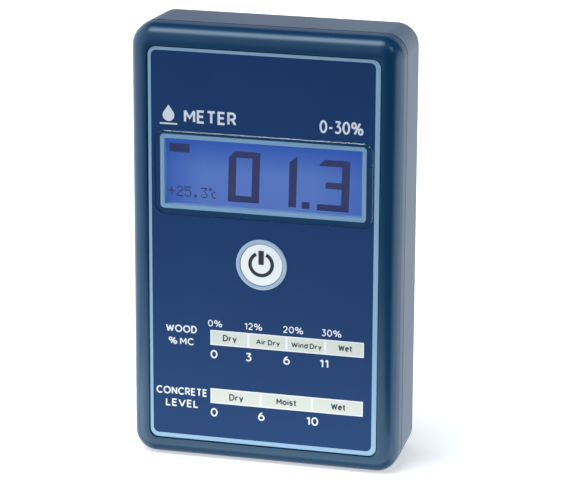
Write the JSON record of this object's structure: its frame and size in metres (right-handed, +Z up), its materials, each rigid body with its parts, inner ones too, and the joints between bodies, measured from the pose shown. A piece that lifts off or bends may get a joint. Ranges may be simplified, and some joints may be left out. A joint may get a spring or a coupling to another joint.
{
  "type": "moisture meter",
  "caption": "Hand-held pinless moisture meter for wood and concrete, with a backlit display, a power key, wood and concrete scales, rear contact pads and a hinged battery door.",
  "frame": {"origin": "centre of the bottom end that the meter stands on, at the middle of its box", "axes": "+Z up along the case, the display and key face -Y, +X to the right of a person reading the display"},
  "size_m": [0.08, 0.0274, 0.13],
  "materials": {
    "case_plastic": "finely textured satin ABS",
    "label_film": "velvet printed polycarbonate film",
    "clear_acrylic": "clear, polished",
    "frame_plastic": "satin light blue",
    "display_glass": "glass with a blue backlit film",
    "light_guide": "diffusing acrylic",
    "black_plastic": "moulded, matt",
    "strip_rubber": "silicone elastomer",
    "board": "green solder mask",
    "capacitor_can": "bright drawn can",
    "key_plastic": "satin white",
    "bezel_plastic": "satin grey-blue",
    "electrode_rubber": "matt conductive rubber",
    "post_brass": "turned",
    "screw_steel": "zinc plated",
    "battery_jacket": "printed steel jacket",
    "battery_cells": "shrink-wrapped cells",
    "red_wire": "PVC insulation",
    "black_wire": "PVC insulation",
    "foam": "open-cell foam"
  },
  "bodies": {
    "case": {"front_cover": "case_plastic", "rear_cover": "case_plastic", "front_label": "label_film", "display_window": "clear_acrylic", "display_frame": "frame_plastic", "lcd_glass": "display_glass", "light_guide": "light_guide", "backlight_led": "light_guide", "lcd_holder": "black_plastic", "contact_strip_top": "strip_rubber", "contact_strip_bottom": "strip_rubber", "circuit_board": "board", "board_screw_1": "screw_steel", "board_screw_2": "screw_steel", "board_screw_3": "screw_steel", "board_screw_4": "screw_steel", "processor": "black_plastic", "crystal": "screw_steel", "regulator": "black_plastic", "capacitor": "capacitor_can", "temperature_sensor": "black_plastic", "button_bezel": "bezel_plastic", "power_switch": "black_plastic", "electrode_left": "electrode_rubber", "electrode_right": "electrode_rubber", "electrode_post_left": "post_brass", "electrode_post_right": "post_brass", "battery_jacket": "battery_jacket", "battery_cells": "battery_cells", "battery_terminal_board": "black_plastic", "battery_terminal_positive": "screw_steel", "battery_terminal_negative": "screw_steel", "battery_snap": "black_plastic", "lead_red": "red_wire", "lead_black": "black_wire", "case_screw_1": "screw_steel", "case_screw_2": "screw_steel", "case_screw_3": "screw_steel", "case_screw_4": "screw_steel"},
    "power_key": {"power_button": "key_plastic", "switch_plunger": "black_plastic"},
    "door": {"battery_door": "case_plastic", "door_foam_pad": "foam"}
  },
  "joints": [
    {"name": "power_key_press", "type": "slide", "parent": "case", "child": "power_key", "axis": [0, 1, 0], "range_m": [0, 0.0004], "stiffness_N_per_m": 1500, "springref_m": -0.0006},
    {"name": "battery_door_hinge", "type": "hinge", "parent": "case", "child": "door", "pos_m": [0, 0.0112, 0.0065], "axis": [-1, 0, 0], "range_deg": [0, 90]}
  ]
}
